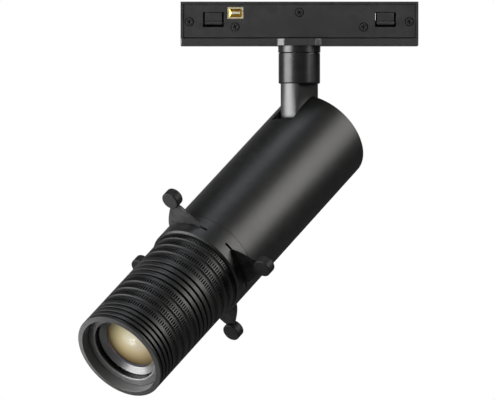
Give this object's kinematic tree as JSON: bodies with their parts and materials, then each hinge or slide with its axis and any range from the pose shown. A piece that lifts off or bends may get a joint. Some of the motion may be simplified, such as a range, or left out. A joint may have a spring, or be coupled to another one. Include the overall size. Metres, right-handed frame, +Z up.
{
  "type": "framing projector track spotlight",
  "caption": "Cylindrical framing spotlight with shutter blades and a ribbed lens barrel, on a tilting stem under a magnetic track adapter.",
  "frame": {"origin": "centre of the adapter's top face, which sits in the track", "axes": "+Z up out of the track face, +X along the track, -Y towards the side with the first cover"},
  "size_m": [0.1833, 0.1692, 0.2124],
  "materials": {
    "adapter_black": "fine matte black moulding",
    "base_black": "satin black paint on cast metal",
    "screw_black": "blackened steel",
    "contact_gold": "bright gold-plated brass",
    "carrier_cream": "cream insulating moulding",
    "magnet": "nickel plate",
    "board_green": "green solder mask",
    "component_dark": "dark component bodies",
    "swivel_black": "satin black anodised stem",
    "knuckle_black": "satin black machined metal",
    "steel": "plain turned steel",
    "wire_red": "insulated wire",
    "tube_black": "bead-blasted black anodised aluminium",
    "bracket_grey": "dark anodised aluminium",
    "sink_aluminium": "plain extruded aluminium",
    "led_white": "white reflective board",
    "led_phosphor": "yellow phosphor",
    "reflector_bright": "polished reflector",
    "lens_clear": "clear optical glass",
    "lens_coated": "coated optical glass with an amber glow",
    "blade_black": "black heat-proof coating on steel",
    "knob_black": "black heat-proof plastic",
    "barrel_black": "black anodised turned aluminium",
    "trim_grey": "dark turned aluminium with fine rings"
  },
  "bodies": {
    "adapter": {"housing": "adapter_black", "front_cover": "adapter_black", "back_cover": "adapter_black", "base_plate": "base_black", "base_screws": "screw_black", "cover_screws": "screw_black", "magnets": "magnet", "contact_carrier": "carrier_cream", "contact_leaf": "contact_gold", "driver_board": "board_green", "driver_parts": "component_dark", "pan_collar": "swivel_black"},
    "contact_plunger_front": {"contact_front": "contact_gold"},
    "contact_plunger_back": {"contact_back": "contact_gold"},
    "latch_fl": {"latch_front_left": "adapter_black"},
    "latch_fr": {"latch_front_right": "adapter_black"},
    "latch_bl": {"latch_back_left": "adapter_black"},
    "latch_br": {"latch_back_right": "adapter_black"},
    "swivel": {"stem": "swivel_black", "knuckle": "knuckle_black", "spindle": "steel", "pan_nut": "steel", "pan_washer": "steel", "stem_wires": "wire_red"},
    "lamp": {"tube": "tube_black", "rear_cap": "tube_black", "lamp_screws": "screw_black", "pivot_bracket": "bracket_grey", "tilt_screw": "steel", "tilt_washers": "steel", "heat_sink": "sink_aluminium", "led_board": "led_white", "led_chip": "led_phosphor", "led_holder": "led_white", "reflector": "reflector_bright", "condenser_lens": "lens_clear", "condenser_ring": "trim_grey", "shutter_housing": "tube_black", "gate_plate": "bracket_grey", "gate_screws": "steel", "lens_tube": "swivel_black", "zoom_clip": "steel", "lamp_wires": "wire_red"},
    "blade_top": {"shutter_top": "blade_black", "knob_top": "knob_black"},
    "blade_bottom": {"shutter_bottom": "blade_black", "knob_bottom": "knob_black"},
    "blade_left": {"shutter_left": "blade_black", "knob_left": "knob_black"},
    "blade_right": {"shutter_right": "blade_black", "knob_right": "knob_black"},
    "zoom_grip": {"zoom_ring": "barrel_black"},
    "zoom_cell": {"zoom_carriage": "bracket_grey", "zoom_lens": "lens_clear"},
    "focus_cell": {"focus_carriage": "bracket_grey", "front_lens": "lens_coated", "lens_retainer": "trim_grey"},
    "focus_grip": {"focus_ring": "barrel_black", "focus_clip": "steel", "front_baffle": "trim_grey"}
  },
  "joints": [
    {"name": "latch_press_front_left", "type": "hinge", "parent": "adapter", "child": "latch_fl", "pos_m": [-0.047, -0.0089, -0.0059], "axis": [1, 0, 0], "range_deg": [0, 7.5], "stiffness_Nm_per_rad": 0.05},
    {"name": "latch_press_front_right", "type": "hinge", "parent": "adapter", "child": "latch_fr", "pos_m": [0.047, -0.0089, -0.0059], "axis": [1, 0, 0], "range_deg": [0, 7.5], "stiffness_Nm_per_rad": 0.05},
    {"name": "latch_press_back_left", "type": "hinge", "parent": "adapter", "child": "latch_bl", "pos_m": [-0.047, 0.0089, -0.0059], "axis": [-1, 0, 0], "range_deg": [0, 7.5], "stiffness_Nm_per_rad": 0.05},
    {"name": "latch_press_back_right", "type": "hinge", "parent": "adapter", "child": "latch_br", "pos_m": [0.047, 0.0089, -0.0059], "axis": [-1, 0, 0], "range_deg": [0, 7.5], "stiffness_Nm_per_rad": 0.05},
    {"name": "contact_press_front", "type": "slide", "parent": "adapter", "child": "contact_plunger_front", "axis": [0, 1, 0], "range_m": [0, 0.001], "stiffness_N_per_m": 400, "springref_m": -0.001},
    {"name": "contact_press_back", "type": "slide", "parent": "adapter", "child": "contact_plunger_back", "axis": [0, -1, 0], "range_m": [0, 0.001], "stiffness_N_per_m": 400, "springref_m": -0.001},
    {"name": "pan_swivel", "type": "hinge", "parent": "adapter", "child": "swivel", "pos_m": [0, 0, -0.03], "axis": [0, 0, 1], "range_deg": [-175, 175]},
    {"name": "lamp_tilt", "type": "hinge", "parent": "swivel", "child": "lamp", "pos_m": [0, 0, -0.0622], "axis": [0.7627, -0.6468, 0], "range_deg": [-35, 54]},
    {"name": "shutter_top_slide", "type": "slide", "parent": "lamp", "child": "blade_top", "axis": [0.3728, 0.4396, -0.8171], "range_m": [0, 0.01]},
    {"name": "shutter_bottom_slide", "type": "slide", "parent": "lamp", "child": "blade_bottom", "axis": [-0.3728, -0.4396, 0.8171], "range_m": [0, 0.01]},
    {"name": "shutter_left_slide", "type": "slide", "parent": "lamp", "child": "blade_left", "axis": [-0.7627, 0.6468, 0], "range_m": [0, 0.01]},
    {"name": "shutter_right_slide", "type": "slide", "parent": "lamp", "child": "blade_right", "axis": [0.7627, -0.6468, 0], "range_m": [0, 0.01]},
    {"name": "zoom_turn", "type": "hinge", "parent": "lamp", "child": "zoom_grip", "pos_m": [-0.06616, -0.07801, -0.15834], "axis": [-0.5285, -0.6232, -0.5764], "range_deg": [0, 90]},
    {"name": "zoom_slide", "type": "slide", "parent": "lamp", "child": "zoom_cell", "axis": [-0.5285, -0.6232, -0.5764], "range_m": [0, 0.015]},
    {"name": "focus_slide", "type": "slide", "parent": "lamp", "child": "focus_cell", "axis": [-0.5285, -0.6232, -0.5764], "range_m": [0, 0.01]},
    {"name": "focus_turn", "type": "hinge", "parent": "focus_cell", "child": "focus_grip", "pos_m": [-0.08624, -0.10169, -0.18024], "axis": [-0.5285, -0.6232, -0.5764], "range_deg": [0, 300]}
  ],
  "couplings": [
    {"joint": "zoom_slide", "follows": "zoom_turn", "m_per_rad": 0.009549},
    {"joint": "focus_slide", "follows": "focus_turn", "m_per_rad": 0.0019098}
  ]
}
